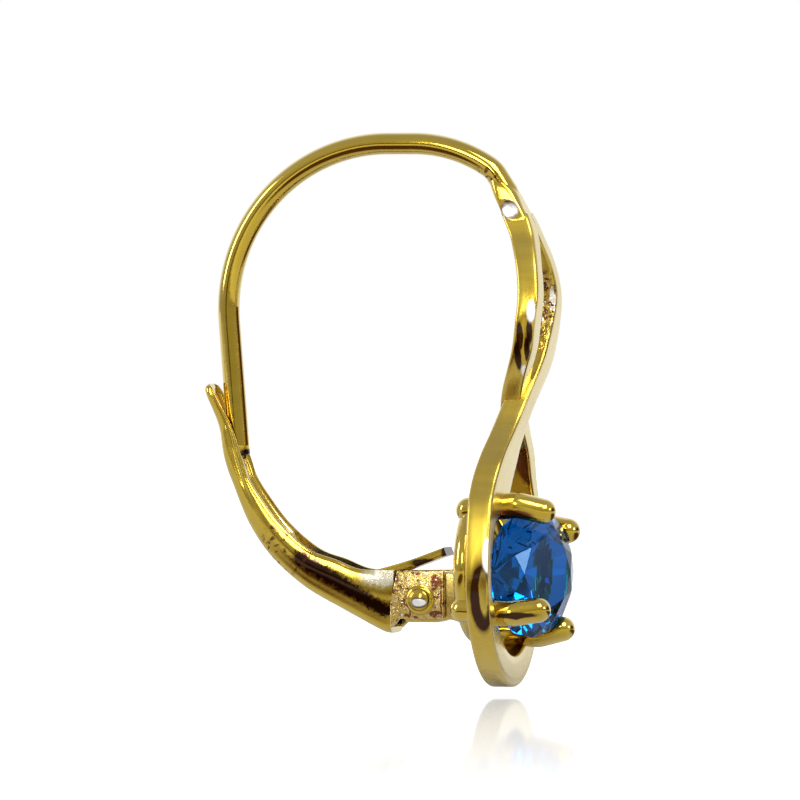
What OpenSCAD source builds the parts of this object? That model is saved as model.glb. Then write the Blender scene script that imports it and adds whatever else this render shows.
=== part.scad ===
// Leverback earring: an ear wire over a crossed swirl of two ribbons, a round stone in four
// prongs, and a sprung lever that closes on the wire. Millimetres. The front faces -Y and the
// origin is the underside of the crown of the ear wire, where the earring hangs on the ear.

/* [Ear wire] */
// Thickness of the round wire
wire_d = 0.85; // [0.7:0.05:0.95]
// Radius of the bend behind the ear
back_bend_r = 6.35; // [5.8:0.05:6.8]
// Radius of the bend in front of the ear
front_bend_r = 5.4; // [5:0.1:6]
// Flat run at the crown between the two bends
crown_run = 1.05; // [0.6:0.05:1.5]
// Angle that the front bend turns through before the short bend at the swirl's head
front_bend_angle = 33; // [31:1:35]
// Radius of the short bend at the swirl's head
short_bend_r = 1.2; // [1:0.1:1.4]
// Angle of the short bend
short_bend_angle = 24; // [20:1:26]
// Length of the wire's straight end beside the swirl's head
front_tail = 1.05; // [0.9:0.05:1.2]
// Forward lean of the straight back leg, in degrees
back_lean = 4.5; // [3:0.5:6]
// Length of the straight back leg
back_leg = 5.2; // [4.6:0.05:5.4]

/* [Swirl] */
// Drop of the swirl's lowest point below the underside of the crown
swirl_drop = 20.45; // [19:0.05:22]
// Width of the big lower loop
loop_w = 8.35; // [7.8:0.05:9]
// Distance of the foremost point of the swirl from the crown
swirl_reach = 5.92; // [5.7:0.02:6.1]
// Width of the front ribbon where it is broadest
ribbon_w = 2.2; // [1.9:0.05:2.5]
// Thickness of the ribbons from front to back
ribbon_t = 0.93; // [0.8:0.01:1.1]
// How far the front ribbon stands proud at the crossing
crossing_step = 0.12; // [0.08:0.02:0.2]
// Width of the head where the ear wire enters it
head_w = 1.05; // [0.95:0.01:1.15]
// Depth of the round dent in the side of the head
dent_depth = 0.12; // [0.06:0.01:0.16]

/* [Setting] */
// Drop of the setting's axis below the underside of the crown
setting_drop = 15.95; // [15.6:0.05:16.3]
// Thickness of the four round prongs
prong_d = 1.0; // [0.9:0.02:1.1]
// Angle of the first prong from the horizontal
prong_turn = 32.6; // [28:0.2:36]
// How far the prong tips stand in front of the stone's girdle
prong_reach = 1.0; // [0.9:0.01:1.2]
// How far behind the girdle the prongs start
prong_back = 1.95; // [1.8:0.05:2.1]
// How much the prong tips close in over the stone
prong_close = 0.28; // [0.15:0.01:0.4]
// Thickness of the rear ring that joins the prongs
ring_d = 0.84; // [0.7:0.02:0.95]
// Distance of the rear ring from the centre line of the prongs' feet
ring_inset = 0.3; // [0.2:0.02:0.4]

/* [Stone] */
// Diameter of the round stone
stone_d = 5.0; // [4.8:0.02:5.1]
// Width of the table as a share of the diameter
table_share = 0.56; // [0.5:0.01:0.62]
// Height of the crown above the girdle
crown_h = 0.76; // [0.7:0.02:1.1]
// Thickness of the girdle
girdle_h = 0.12; // [0.06:0.01:0.2]
// Depth of the pavilion below the girdle
pavilion_h = 2.1; // [1.9:0.02:2.15]
// How far the stone is turned in its prongs towards the near side, in degrees
stone_turn = 25; // [8:1:26]
// Distance of the girdle in front of the knees of the prongs
stone_forward = 0.14; // [0:0.02:0.16]
// Drop of the stone's centre below the setting's axis
stone_low = 0.1; // [0:0.02:0.12]
// Gap between the stone and its prongs
stone_gap = 0.03; // [0.02:0.01:0.06]

/* [Hinge] */
// Diameter of the rivet
rivet_d = 0.7; // [0.6:0.02:0.8]
// Diameter of the rivet's domed heads
rivet_head_d = 1.12; // [1:0.02:1.2]
// Height of the rivet's heads
rivet_head_h = 0.2; // [0.12:0.01:0.26]
// Running clearance round the rivet in the hinge post
bore_gap = 0.03; // [0.02:0.01:0.06]
// Gap round the rivet in the lever's cheeks
cheek_gap = 0.02; // [0.01:0.01:0.03]
// Distance of the rivet behind the stone's girdle
rivet_back = 4.02; // [3.9:0.02:4.2]
// Drop of the rivet below the setting's axis
rivet_drop = 1.14; // [1.05:0.01:1.25]
// Thickness of the hinge post
post_t = 1.4; // [1.2:0.02:1.5]
// Radius of the post's round end
post_r = 1.05; // [0.95:0.01:1.06]

/* [Lever] */
// Outer width of the lever at the hinge
lever_w = 2.0; // [1.9:0.02:2.2]
// Outer width of the lever at its tip
tip_w = 1.4; // [1.34:0.02:1.5]
// Thickness of the lever's side walls
wall_t = 0.22; // [0.18:0.01:0.24]
// Thickness of the lever's back
back_t = 0.2; // [0.15:0.01:0.22]
// Gap between the end of the ear wire and the groove that it rests in
rest_gap = 0.04; // [0.03:0.01:0.08]

/* [Leaf spring] */
// Thickness of the spring strip
spring_t = 0.33; // [0.28:0.01:0.36]
// Width of the spring strip
spring_w = 1.2; // [1:0.02:1.3]

/* [Hidden] */
$fn = 96;
gold = [0.78, 0.66, 0.27];
pale_gold = [0.86, 0.77, 0.45];
stone_blue = [0.05, 0.28, 0.58];

prong_r = prong_d / 2;
// the prongs are a little thinner where they close over the stone
prong_tip_r = 0.97 * prong_r;
ring_r = ring_d / 2;
stone_r = stone_d / 2;
// how far the swirl's rounded corners and cuts reach past the faces that they trim
past = 1;

// Ear wire, as the centre line in the plane X = 0
// bending draws the wire thinner by a hair in the two long bends and the crown
bent_d = wire_d - 0.008;
crown_z = bent_d / 2;
back_centre = [crown_run / 2, crown_z - back_bend_r];
front_centre = [-crown_run / 2, crown_z - front_bend_r];
leg_top = [back_centre[0] + back_bend_r * cos(back_lean), back_centre[1] - back_bend_r * sin(back_lean)];
leg_end = [leg_top[0] - back_leg * sin(back_lean), leg_top[1] - back_leg * cos(back_lean)];
// the straight ends lap over the long bends by this much
wire_lap = 0.05;

// Setting
setting_z = -setting_drop;
// shares of the swirl's reach: the stone's girdle lies a little behind the foremost point
girdle_y = -0.851 * swirl_reach;
knee_r = stone_r + prong_r;
foot_r = knee_r - 0.25;
tip_r = knee_r - prong_close;
ring_major = foot_r - ring_inset;
ring_z = -prong_back + 0.06;

// Hinge
rivet_y = girdle_y + rivet_back;
rivet_z = setting_z - rivet_drop;
rivet_r = rivet_d / 2;

// Place of one point on a smooth curve between rows b and c
function spline(a, b, c, d, t) =
    0.5 * (2 * b + (c - a) * t + (2 * a - 5 * b + 4 * c - d) * t * t + (3 * b - a - 3 * c + d) * t * t * t);
// Rows of a table with steps - 1 rows worked out between each two
function smooth_rows(rows, steps) =
    let (last = len(rows) - 1)
    [for (i = [0:last - 1])
        for (k = [0:steps - 1])
            spline(rows[max(i - 1, 0)], rows[i], rows[i + 1], rows[min(i + 2, last)], k / steps),
     rows[last]];
function reversed(list) = [for (i = [len(list) - 1:-1:0]) list[i]];
function unit(v) = v / norm(v);
function left_of(v) = [-v[1], v[0]];
// Direction of a line of points at one of them
function heading(points, i) = unit(points[min(i + 1, len(points) - 1)] - points[max(i - 1, 0)]);
// A line of points moved to its left by a distance for each point
function moved(points, by) = [for (i = [0:len(points) - 1]) points[i] + by[i] * left_of(heading(points, i))];

// Ribbons of the swirl seen from the front, one row for each section
down = 0;    // share of the swirl's drop
across = 1;  // share of half the lower loop's width, to the right
broad = 2;   // share of the ribbon's greatest width
front_ribbon = [
    [0.088, 0.012, 0.38],
    [0.130, 0.055, 0.40],
    [0.162, 0.110, 0.38],
    [0.196, 0.235, 0.36],
    [0.260, 0.362, 0.36],
    [0.323, 0.347, 0.57],
    [0.392, 0.215, 0.64],
    [0.450, 0.024, 0.66],
    [0.509, -0.096, 0.66],
    [0.578, -0.300, 0.96],
    [0.617, -0.460, 1.00],
    [0.646, -0.640, 0.72],
    [0.675, -0.805, 0.43],
    [0.763, -0.936, 0.26],
    [0.830, -0.905, 0.30],
    [0.885, -0.760, 0.44],
    [0.928, -0.560, 0.53],
    [0.957, -0.330, 0.55],
    [0.9685, -0.120, 0.55],
    [0.970, 0.000, 0.55],
];
back_ribbon = [
    [0.088, -0.012, 0.38],
    [0.130, -0.055, 0.40],
    [0.162, -0.120, 0.36],
    [0.196, -0.245, 0.35],
    [0.260, -0.335, 0.48],
    [0.323, -0.368, 0.52],
    [0.392, -0.300, 0.43],
    [0.450, -0.084, 0.41],
    [0.509, 0.180, 0.38],
    [0.578, 0.526, 0.36],
    [0.651, 0.800, 0.34],
    [0.744, 0.909, 0.34],
    [0.822, 0.885, 0.36],
    [0.880, 0.760, 0.43],
    [0.926, 0.560, 0.52],
    [0.957, 0.330, 0.55],
    [0.9685, 0.120, 0.55],
    [0.970, 0.000, 0.55],
];
// Side view of the swirl, one row for each height
forward = 1; // share of the swirl's reach
thick = 2;   // share of the ribbon's thickness
side_rows = [
    [0.052, 0.748, 0.86],
    [0.060, 0.792, 1.12],
    [0.072, 0.806, 1.16],
    [0.088, 0.828, 1.17],
    [0.124, 0.890, 1.12],
    [0.161, 0.936, 1.02],
    [0.208, 0.978, 0.93],
    [0.262, 1.000, 0.88],
    [0.316, 0.985, 0.86],
    [0.365, 0.961, 0.88],
    [0.404, 0.925, 0.92],
    [0.443, 0.880, 0.98],
    [0.482, 0.841, 1.01],
    [0.521, 0.817, 1.03],
    [0.570, 0.794, 1.06],
    [0.619, 0.773, 1.07],
    [0.690, 0.770, 1.02],
    [0.790, 0.770, 1.00],
    [1.010, 0.770, 1.00],
];

// Centre line and half widths of a ribbon, with the last section square to the loop's foot
function ribbon_line(rows) =
    [for (r = smooth_rows(rows, 4)) [r[across] * loop_w / 2, -r[down] * swirl_drop]];
function ribbon_half(rows) = [for (r = smooth_rows(rows, 4)) r[broad] * ribbon_w / 2];
function ribbon_edge(rows, side) =
    let (line = ribbon_line(rows), half = ribbon_half(rows), last = len(line) - 1)
    concat(
        [for (i = [0:last - 1]) line[i] + side * half[i] * left_of(heading(line, i))],
        [[line[last][0], line[last][1] - side * half[last] * sign(line[last - 1][0])]]
    );
function ribbon_outline(rows) = concat(ribbon_edge(rows, 1), reversed(ribbon_edge(rows, -1)));

// Side outline of the swirl as [Y, Z], with its front moved forward by a distance
function side_front(extra) =
    [for (r = smooth_rows(side_rows, 3)) [-r[forward] * swirl_reach - extra, -r[down] * swirl_drop]];
function side_back() =
    [for (r = smooth_rows(side_rows, 3))
        [-r[forward] * swirl_reach + r[thick] * ribbon_t, -r[down] * swirl_drop]];

// A shape drawn in [Y, Z] made as thick as width in X, centred on X = 0
module across_plate(width) {
    rotate([90, 0, 90])
        translate([0, 0, -width / 2])
            linear_extrude(height = width) children();
}

// A shape drawn in [X, Z] made to run from front to back through the swirl
module through_swirl() {
    translate([0, swirl_reach, 0])
        rotate([90, 0, 0])
            linear_extrude(height = 3 * swirl_reach) children();
}

// A round bar along +Z with a round top, and a round foot too if it is asked for
module round_bar(length, r, round_foot) {
    rotate_extrude()
        intersection() {
            union() {
                translate([-r, 0]) square([2 * r, length]);
                translate([0, length]) circle(r = r);
                if (round_foot) circle(r = r);
            }
            translate([0, -2 * r]) square([2 * r, length + 4 * r]);
        }
}

// Turns a bar drawn along +Z so that it runs from one point to another
module between(a, b) {
    v = b - a;
    translate(a) rotate([0, acos(v[2] / norm(v)), atan2(v[1], v[0])]) children();
}

// Moves a part built along +Z, with the girdle at 0, onto the setting's axis
module on_setting() {
    translate([0, girdle_y, setting_z]) rotate([90, 0, 0]) children();
}

// One bend of the wire about the local Z, starting at the local X
module bend(r, sweep, d) {
    rotate_extrude(angle = sweep) translate([r, 0]) circle(d = d);
}

// Ear wire: crown, back bend with its straight leg, front bend, short bend and straight end
module ear_wire() {
    short_lap = 360 * wire_lap / (2 * PI * short_bend_r);
    translate([0, crown_run / 2, crown_z])
        rotate([90, 0, 0])
            cylinder(h = crown_run, d = bent_d);
    translate([0, back_centre[0], back_centre[1]])
        rotate([90, 0, -90]) {
            rotate([0, 0, 90]) bend(back_bend_r, 90 + back_lean, bent_d);
            rotate([0, 0, 180 + back_lean])
                translate([back_bend_r, -wire_lap, 0])
                    rotate([-90, 0, 0])
                        cylinder(h = back_leg + wire_lap, d = wire_d);
        }
    translate([0, front_centre[0], front_centre[1]])
        rotate([90, 0, 90]) {
            rotate([0, 0, 90]) bend(front_bend_r, front_bend_angle, bent_d);
            rotate([0, 0, 90 + front_bend_angle])
                translate([front_bend_r - short_bend_r, 0, 0])
                    rotate([0, 0, short_bend_angle]) {
                        rotate([180, 0, 0]) bend(short_bend_r, short_bend_angle + short_lap, wire_d);
                        translate([short_bend_r, 0, 0])
                            rotate([-90, 0, 0])
                                cylinder(h = front_tail, d = wire_d);
                    }
        }
}

// Front outline of the head that the two ribbons part from
head_top_down = 0.03;
head_foot_w = 1.15;
head_foot_down = 0.125;
module head_outline() {
    polygon([
        [-head_w / 2, -head_top_down * swirl_drop],
        [head_w / 2, -head_top_down * swirl_drop],
        [head_foot_w / 2, -head_foot_down * swirl_drop],
        [-head_foot_w / 2, -head_foot_down * swirl_drop],
    ]);
}

// Swirl: the two ribbons and their head, cut to the side outline
dent_r = 0.55;
dent_down = 0.104;
dent_forward = 0.745;
module swirl() {
    side_w = loop_w + 2 * past;
    difference() {
        intersection() {
            union() {
                through_swirl() head_outline();
                through_swirl() polygon(ribbon_outline(front_ribbon));
                through_swirl() polygon(ribbon_outline(back_ribbon));
            }
            across_plate(side_w) polygon(concat(side_front(0), reversed(side_back())));
        }
        translate([-head_foot_w / 2 - dent_r + dent_depth, -dent_forward * swirl_reach,
            -dent_down * swirl_drop])
            sphere(r = dent_r);
    }
    crossing_band();
}

// The front ribbon's raised stretch where it passes over the other
band_first = 19;
band_last = 33;
band_inset = 0.04;
module crossing_band() {
    line = [for (i = [band_first:band_last]) ribbon_line(front_ribbon)[i]];
    half = [for (i = [band_first:band_last]) ribbon_half(front_ribbon)[i] - band_inset];
    minus = [for (h = half) -h];
    top = line[0][1];
    bottom = line[len(line) - 1][1];
    middle = (top + bottom) / 2;
    // the face swells from under the ribbons' face to its full step and back
    face = [for (p = side_front(0)) if (p[1] < top && p[1] > bottom)
        [p[0] + ribbon_t / 4 - (crossing_step + ribbon_t / 4) * cos(90 * (p[1] - middle) / (top - middle)), p[1]]];
    root = [for (p = face) [p[0] + ribbon_t / 2, p[1]]];
    intersection() {
        through_swirl() polygon(concat(moved(line, half), reversed(moved(line, minus))));
        across_plate(loop_w) polygon(concat(face, reversed(root)));
    }
}

// Four round prongs with a knee at the girdle, and the ring behind the stone
module prong(angle) {
    foot = [foot_r * cos(angle), foot_r * sin(angle), -prong_back];
    knee = [knee_r * cos(angle), knee_r * sin(angle), 0];
    tip = [tip_r * cos(angle), tip_r * sin(angle), prong_reach];
    between(foot, knee) round_bar(norm(knee - foot), prong_r, true);
    between(knee, tip) round_bar(norm(tip - knee), prong_tip_r, false);
}

module basket() {
    on_setting() {
        for (k = [0:3]) prong(prong_turn + 90 * k);
        translate([0, 0, ring_z]) rotate_extrude() translate([ring_major, 0]) circle(r = ring_r);
    }
}

// Hinge post: round end about the rivet, and a neck that runs down to the rear ring
post_under = 0.88;
neck_rise = 1.05;
neck_under = 0.74;
module hinge_post() {
    ring_y = girdle_y - ring_z;
    ring_foot_z = setting_z - ring_major;
    across_plate(post_t) {
        intersection() {
            translate([rivet_y, rivet_z]) circle(r = post_r);
            translate([rivet_y - post_r, rivet_z - post_under])
                square([2 * post_r, post_under + neck_rise]);
        }
        polygon([
            [rivet_y, rivet_z + neck_rise],
            [ring_y + ring_r, rivet_z + neck_rise],
            [ring_y + ring_r - 0.1, rivet_z + neck_rise / 2],
            [ring_y, ring_foot_z + ring_r / 2],
            [ring_y, ring_foot_z - ring_r / 2],
            [ring_y + ring_r / 2, ring_foot_z - ring_r / 2],
            [ring_y + ring_r + 0.25, rivet_z - neck_under - 0.12],
            [rivet_y - post_r, rivet_z - neck_under],
            [rivet_y, rivet_z - neck_under],
        ]);
    }
}

// Round envelope of the stone with its gap, for the seats in the prongs
module stone_seat() {
    r = stone_r + stone_gap;
    half = girdle_h / 2 + stone_gap;
    rotate_extrude()
        polygon([
            [0, -pavilion_h - half],
            [r, -half],
            [r, half],
            [stone_r * table_share + stone_gap, crown_h + half],
            [0, crown_h + half],
        ]);
}

module at_stone() {
    translate([0, girdle_y - stone_forward, setting_z - stone_low])
        rotate([0, 0, -stone_turn])
            rotate([90, 0, 0]) children();
}

// All the soldered metal: ear wire, swirl, basket and hinge post
module swirl_frame() {
    color(gold)
        difference() {
            union() {
                ear_wire();
                swirl();
                basket();
                hinge_post();
            }
            at_stone() stone_seat();
            translate([0, rivet_y, rivet_z])
                rotate([0, 90, 0])
                    cylinder(h = post_t + past, r = rivet_r + bore_gap, center = true);
        }
}

// Round brilliant with table, star, kite, upper and lower girdle and main facets
facets = 8;
star_share = 0.74;
lower_share = 0.24;
module stone() {
    step = 360 / facets;
    table_r = stone_r * table_share;
    star_r = star_share * stone_r;
    lower_r = lower_share * stone_r;
    half_step = cos(step / 2);
    star_z = girdle_h / 2 + crown_h * (stone_r - star_r * half_step) / (stone_r - table_r);
    lower_z = -girdle_h / 2 - pavilion_h * (1 - lower_r * half_step / stone_r);
    // vertex rings, each with as many points as there are facets round the stone
    function ring_at(r, z, turn) = [for (k = [0:facets - 1]) [r * cos(step * k + turn), r * sin(step * k + turn), z]];
    points = concat(
        ring_at(table_r, girdle_h / 2 + crown_h, 0),
        ring_at(star_r, star_z, step / 2),
        ring_at(stone_r, girdle_h / 2, 0),
        ring_at(stone_r, girdle_h / 2, step / 2),
        ring_at(stone_r, -girdle_h / 2, 0),
        ring_at(stone_r, -girdle_h / 2, step / 2),
        ring_at(lower_r, lower_z, step / 2),
        [[0, 0, -girdle_h / 2 - pavilion_h]]
    );
    culet = 7 * facets;
    // index of point k in one of the rings above
    function at(ring, k) = ring * facets + (k + facets) % facets;
    faces = concat(
        [[for (k = [facets - 1:-1:0]) k]],
        [for (k = [0:facets - 1]) [at(0, k), at(0, k + 1), at(1, k)]],
        [for (k = [0:facets - 1]) [at(0, k), at(1, k), at(2, k), at(1, k - 1)]],
        [for (k = [0:facets - 1]) [at(1, k), at(3, k), at(2, k)]],
        [for (k = [0:facets - 1]) [at(1, k), at(2, k + 1), at(3, k)]],
        [for (k = [0:facets - 1]) [at(2, k), at(3, k), at(5, k), at(4, k)]],
        [for (k = [0:facets - 1]) [at(3, k), at(2, k + 1), at(4, k + 1), at(5, k)]],
        [for (k = [0:facets - 1]) [at(4, k), at(5, k), at(6, k)]],
        [for (k = [0:facets - 1]) [at(5, k), at(4, k + 1), at(6, k)]],
        [for (k = [0:facets - 1]) [at(4, k), at(6, k), culet, at(6, k - 1)]]
    );
    color(stone_blue)
        at_stone() polyhedron(points = points, faces = faces);
}

// Side view of the lever, one row for each section. Lengths are shares of the way from the
// rivet to the foot of the ear wire: back is the share to the rear, up the share upwards
outer_rows = [
    [1.150, 1.506],
    [1.166, 1.475],
    [1.155, 1.419],
    [1.122, 1.316],
    [1.094, 1.208],
    [1.074, 1.028],
    [1.048, 0.902],
    [1.013, 0.786],
    [0.970, 0.643],
    [0.920, 0.504],
    [0.840, 0.344],
    [0.740, 0.206],
    [0.602, 0.062],
    [0.410, -0.080],
    [0.210, -0.221],
    [0.160, -0.231],
];
inner_rows = [
    [1.150, 1.506],
    [1.126, 1.470],
    [1.098, 1.398],
    [1.040, 1.249],
    [1.008, 1.151],
    [0.985, 1.059],
    [0.957, 0.951],
    [0.930, 0.845],
    [0.860, 0.699],
    [0.752, 0.514],
    [0.600, 0.344],
    [0.455, 0.272],
    [0.322, 0.206],
    [0.120, 0.195],
    [-0.126, 0.206],
];
// the cheeks and the end of the channel's back, as shares like those above
cheek_front = 0.128;
cheek_top = 0.206;
cheek_under = 0.134;
web_end_back = 0.123;
web_end_under = 0.164;
hollow_reach = 0.14;
leg_span = leg_end[0] - rivet_y;
leg_rise = leg_end[1] - rivet_z;
function lever_points(rows) =
    [for (r = smooth_rows(rows, 3)) [rivet_y + r[0] * leg_span, rivet_z + r[1] * leg_rise]];

// Half width of the lever at its tip and at the hinge, drawn in [X, Z]
module lever_plan(inset) {
    tip_z = rivet_z + 1.6 * leg_rise;
    wide_z = rivet_z + 0.25 * leg_rise;
    low_z = rivet_z - 0.5 * leg_rise;
    tip_half = tip_w / 2 - inset;
    wide_half = lever_w / 2 - inset;
    polygon([
        [-tip_half, tip_z],
        [-tip_half, rivet_z + leg_rise],
        [-wide_half, wide_z],
        [-wide_half, low_z],
        [wide_half, low_z],
        [wide_half, wide_z],
        [tip_half, rivet_z + leg_rise],
        [tip_half, tip_z],
    ]);
}

// A plan drawn in [X, Z] made to run from front to back through the lever
module through_lever() {
    translate([0, 2 * leg_span, 0])
        rotate([90, 0, 0])
            linear_extrude(height = 4 * leg_span) children();
}

// Lever: a bent channel whose two walls run on as flat cheeks beside the hinge post
web_start = 7;
module lever() {
    outer = lever_points(outer_rows);
    inner = lever_points(inner_rows);
    web_end = [rivet_y + web_end_back * leg_span, rivet_z - web_end_under * leg_rise];
    cheek = [
        [rivet_y - cheek_front * leg_span, rivet_z + cheek_top * leg_rise],
        [rivet_y - cheek_front * leg_span, rivet_z - cheek_under * leg_rise],
        [rivet_y + web_end_back * leg_span - wall_t / 2, rivet_z - cheek_under * leg_rise],
        web_end,
    ];
    inward = [for (p = outer) -back_t];
    web = moved(outer, inward);
    hollow_web = [for (i = [web_start:len(web) - 1]) web[i]];
    front_y = rivet_y - 2 * cheek_front * leg_span;
    foot_z = rivet_z - leg_rise / 2;
    color(pale_gold)
        difference() {
            intersection() {
                across_plate(lever_w) polygon(concat(outer, reversed(cheek), reversed(inner)));
                through_lever() lever_plan(0);
            }
            intersection() {
                across_plate(lever_w)
                    polygon(concat(
                        hollow_web,
                        [web_end, [web_end[0], foot_z], [front_y, foot_z], [front_y, leg_end[1]]],
                        [[rivet_y + leg_span / 2, leg_end[1]]],
                        [[hollow_web[0][0] - hollow_reach * leg_span, hollow_web[0][1]]]
                    ));
                through_lever() lever_plan(wall_t);
            }
            translate([0, rivet_y, rivet_z])
                rotate([0, 90, 0])
                    cylinder(h = lever_w + past, r = rivet_r + cheek_gap, center = true);
            rest_groove();
        }
}

// Groove in the channel's back that the end of the ear wire rests in
module rest_groove() {
    translate([0, leg_end[0], leg_end[1]])
        rotate([-back_lean, 0, 0])
            translate([0, 0, -rest_gap])
                cylinder(h = back_leg, d = wire_d + 2 * rest_gap);
}

// Leaf spring: a strip that rises out of the channel and over the hinge post. One row for each
// section of its underside, as shares like those of the lever
spring_rows = [
    [0.627, 0.141],
    [0.485, 0.095],
    [0.388, 0.110],
    [0.281, 0.135],
    [0.161, 0.177],
    [0.054, 0.221],
    [-0.040, 0.267],
    [-0.127, 0.311],
];
module leaf_spring() {
    under = lever_points(spring_rows);
    upward = [for (p = under) -spring_t];
    color(pale_gold)
        across_plate(spring_w) polygon(concat(under, reversed(moved(under, upward))));
}

// Rivet: a plain shaft with a low dome on each end
module hinge_rivet() {
    head_r = rivet_head_d / 2;
    head_x = lever_w / 2 + cheek_gap;
    dome_r = (head_r * head_r + rivet_head_h * rivet_head_h) / (2 * rivet_head_h);
    color(pale_gold)
        translate([0, rivet_y, rivet_z])
            rotate([0, 90, 0]) {
                cylinder(h = 2 * head_x, r = rivet_r, center = true);
                for (side = [-1, 1])
                    translate([0, 0, side * head_x])
                        intersection() {
                            translate([0, 0, side * (rivet_head_h - dome_r)]) sphere(r = dome_r);
                            translate([0, 0, side * rivet_head_h])
                                cylinder(h = 2 * rivet_head_h, r = head_r + past, center = true);
                        }
            }
}

swirl_frame();
stone();
lever();
leaf_spring();
hinge_rivet();
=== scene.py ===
import math

import bmesh
import bpy
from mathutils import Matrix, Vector


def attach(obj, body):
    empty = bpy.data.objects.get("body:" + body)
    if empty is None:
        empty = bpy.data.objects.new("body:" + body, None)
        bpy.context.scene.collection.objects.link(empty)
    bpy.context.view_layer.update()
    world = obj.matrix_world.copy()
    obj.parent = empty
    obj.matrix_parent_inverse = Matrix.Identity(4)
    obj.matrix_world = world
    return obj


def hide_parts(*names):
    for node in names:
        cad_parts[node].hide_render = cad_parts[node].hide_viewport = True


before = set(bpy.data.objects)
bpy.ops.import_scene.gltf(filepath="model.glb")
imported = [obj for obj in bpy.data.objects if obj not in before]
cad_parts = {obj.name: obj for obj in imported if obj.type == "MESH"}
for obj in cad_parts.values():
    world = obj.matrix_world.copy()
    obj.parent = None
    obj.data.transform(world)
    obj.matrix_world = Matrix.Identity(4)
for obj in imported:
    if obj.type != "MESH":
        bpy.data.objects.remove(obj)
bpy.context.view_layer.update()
mm = 0.001  # the shapes below are written in millimetres
print("frame loaded")


def blendRows(rows, steps):
    # rows worked out on a smooth curve through each row of a table
    last = len(rows) - 1
    out = []
    for i in range(last):
        a, b, c, d = rows[max(i - 1, 0)], rows[i], rows[i + 1], rows[min(i + 2, last)]
        for k in range(steps):
            t = k / steps
            out.append([0.5 * (2 * q + (r - p) * t + (2 * p - 5 * q + 4 * r - s) * t * t
                               + (3 * q - p - 3 * r + s) * t ** 3) for p, q, r, s in zip(a, b, c, d)])
    out.append(list(rows[last]))
    return out


def arc(middle, radius, start, end, steps):
    # points along an arc with both its ends; the angles are in degrees
    turns = [math.radians(start + (end - start) * k / steps) for k in range(steps + 1)]
    return [(middle[0] + radius * math.cos(a), middle[1] + radius * math.sin(a)) for a in turns]


def meshFrom(name, points, faces, smoothAngle=35):
    mesh = bpy.data.meshes.new(name)
    mesh.from_pydata([Vector(p) * mm for p in points], [], faces)
    work = bmesh.new()
    work.from_mesh(mesh)
    bmesh.ops.remove_doubles(work, verts=work.verts, dist=1e-7)
    bmesh.ops.recalc_face_normals(work, faces=work.faces)
    work.to_mesh(mesh)
    work.free()
    piece = bpy.data.objects.new(name, mesh)
    bpy.context.scene.collection.objects.link(piece)
    mesh.shade_smooth()
    if smoothAngle < 180:
        mesh.set_sharp_from_angle(angle=math.radians(smoothAngle))
    return piece


def skin(name, rings, closed=False, smoothAngle=35):
    # quads between rings of the same number of points, with flat ends
    n = len(rings[0])
    points = [p for ring in rings for p in ring]
    faces = []
    spans = len(rings) if closed else len(rings) - 1
    for i in range(spans):
        j = (i + 1) % len(rings)
        for k in range(n):
            m = (k + 1) % n
            faces.append((i * n + k, i * n + m, j * n + m, j * n + k))
    if not closed:
        faces.append(tuple(range(n)))
        faces.append(tuple(range((len(rings) - 1) * n, len(rings) * n)))
    return meshFrom(name, points, faces, smoothAngle)


def tube(name, path, radii, sides=32, smoothAngle=50):
    rings = []
    path = [Vector(p) for p in path]
    side = None
    for i, p in enumerate(path):
        along = (path[min(i + 1, len(path) - 1)] - path[max(i - 1, 0)]).normalized()
        if side is None:
            side = along.orthogonal().normalized()
        side = (side - along * side.dot(along)).normalized()
        other = along.cross(side)
        rings.append([p + radii[i] * (math.cos(a) * side + math.sin(a) * other)
                      for a in (2 * math.pi * k / sides for k in range(sides))])
    return skin(name, rings, smoothAngle=smoothAngle)


def lathe(name, profile, place, turned, sides=48, smoothAngle=40):
    # profile holds (radius, height) pairs, and turned lays (x, y, height) along the part's axes
    rings = []
    for r, h in profile:
        ring = []
        for k in range(sides):
            a = 2 * math.pi * k / sides
            ring.append(Vector(place) + Vector(turned(r * math.cos(a), r * math.sin(a), h)))
        rings.append(ring)
    return skin(name, rings, smoothAngle=smoothAngle)


def roundedPlate(name, outline, lowX, highX, radius, segments=3, hardAngle=25, smoothAngle=50):
    # an outline in (Y, Z) made thick along X with all its edges rounded
    n = len(outline)
    points = [(lowX, y, z) for y, z in outline] + [(highX, y, z) for y, z in outline]
    faces = [tuple(range(n)), tuple(range(n, 2 * n))]
    faces += [(k, (k + 1) % n, n + (k + 1) % n, n + k) for k in range(n)]
    piece = meshFrom(name, points, faces)
    work = bmesh.new()
    work.from_mesh(piece.data)
    hard = [e for e in work.edges if len(e.link_faces) == 2
            and e.calc_face_angle() > math.radians(hardAngle)]
    bmesh.ops.bevel(work, geom=hard, offset=radius * mm, segments=segments, profile=0.5,
                    affect="EDGES", clamp_overlap=True)
    work.to_mesh(piece.data)
    work.free()
    piece.data.shade_smooth()
    piece.data.set_sharp_from_angle(angle=math.radians(smoothAngle))
    return piece


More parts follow.
